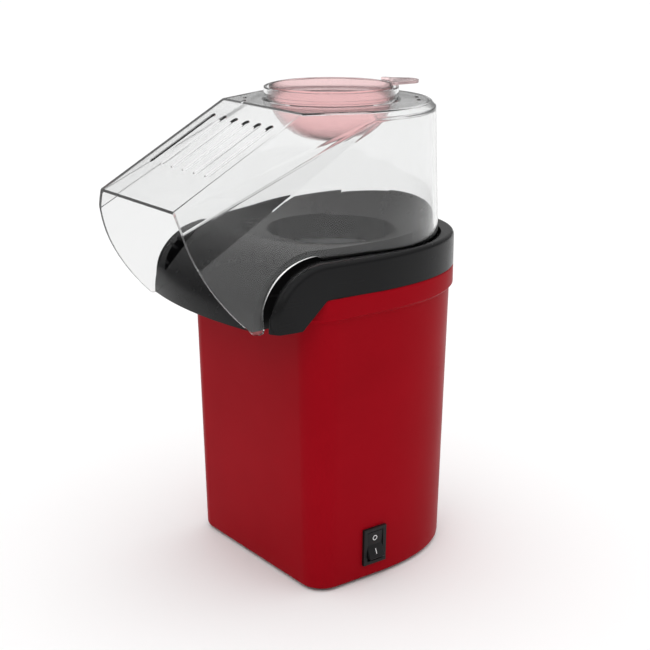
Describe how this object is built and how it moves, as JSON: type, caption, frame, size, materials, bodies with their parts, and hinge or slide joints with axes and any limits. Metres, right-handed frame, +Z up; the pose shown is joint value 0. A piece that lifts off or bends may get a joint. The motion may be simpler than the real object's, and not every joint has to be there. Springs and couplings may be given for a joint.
{
  "type": "popcorn maker",
  "caption": "Hot-air popcorn maker with tapered red housing, black collar and chute, clear lift-off hood, translucent measuring cup and rocker switch.",
  "frame": {"origin": "on the table under the middle of the object's footprint", "axes": "+Z up, -Y towards the spout, +X towards the rocker switch"},
  "size_m": [0.1276, 0.187, 0.2614],
  "materials": {
    "red_plastic": "satin",
    "black_plastic": "matte",
    "gloss_black": "gloss",
    "rubber": "matte",
    "screw_steel": "satin",
    "aluminium": "satin",
    "sheet_steel": "satin",
    "mica": "matte",
    "heater_wire": "satin",
    "brass": "satin",
    "fan_plastic": "matte",
    "circuit_board": "satin",
    "switch_black": "satin",
    "wire_sleeve": "matte",
    "clear_plastic": "clear",
    "pink_plastic": "translucent"
  },
  "bodies": {
    "root": {"outer_housing": "red_plastic", "base_plate": "black_plastic", "rubber_feet": "rubber", "base_screws": "screw_steel", "top_collar": "gloss_black", "chute_deck": "gloss_black", "deck_screws": "screw_steel", "popping_chamber": "aluminium", "chamber_gasket": "rubber", "heater_shroud": "sheet_steel", "heater_boards": "mica", "heating_coils": "heater_wire", "thermostat": "black_plastic", "thermal_fuse": "aluminium", "fan_duct": "black_plastic", "duct_screws": "screw_steel", "motor_can": "sheet_steel", "motor_end_cap": "black_plastic", "motor_bearings": "brass", "motor_screws": "screw_steel", "rectifier_board": "circuit_board", "switch_body": "black_plastic", "switch_terminals": "brass", "cord_gland": "rubber", "gland_nut": "black_plastic", "lead_wires": "wire_sleeve"},
    "fan": {"motor_shaft": "screw_steel", "fan_impeller": "fan_plastic"},
    "rocker": {"switch_rocker": "switch_black"},
    "hood": {"clear_hood": "clear_plastic"},
    "cup": {"measuring_cup": "pink_plastic"}
  },
  "joints": [
    {"name": "fan_spin", "type": "hinge", "parent": "root", "child": "fan", "pos_m": [0, 0.02577, 0.067], "axis": [0, 0, 1], "continuous": true},
    {"name": "rocker_tilt", "type": "hinge", "parent": "root", "child": "rocker", "pos_m": [0.05674, 0.01008, 0.02005], "axis": [0, 1, 0], "range_deg": [0, 20]},
    {"name": "hood_lift", "type": "slide", "parent": "root", "child": "hood", "axis": [0, 0, 1], "range_m": [0, 0.06]},
    {"name": "cup_lift", "type": "slide", "parent": "hood", "child": "cup", "axis": [0, 0, 1], "range_m": [0, 0.045]}
  ]
}
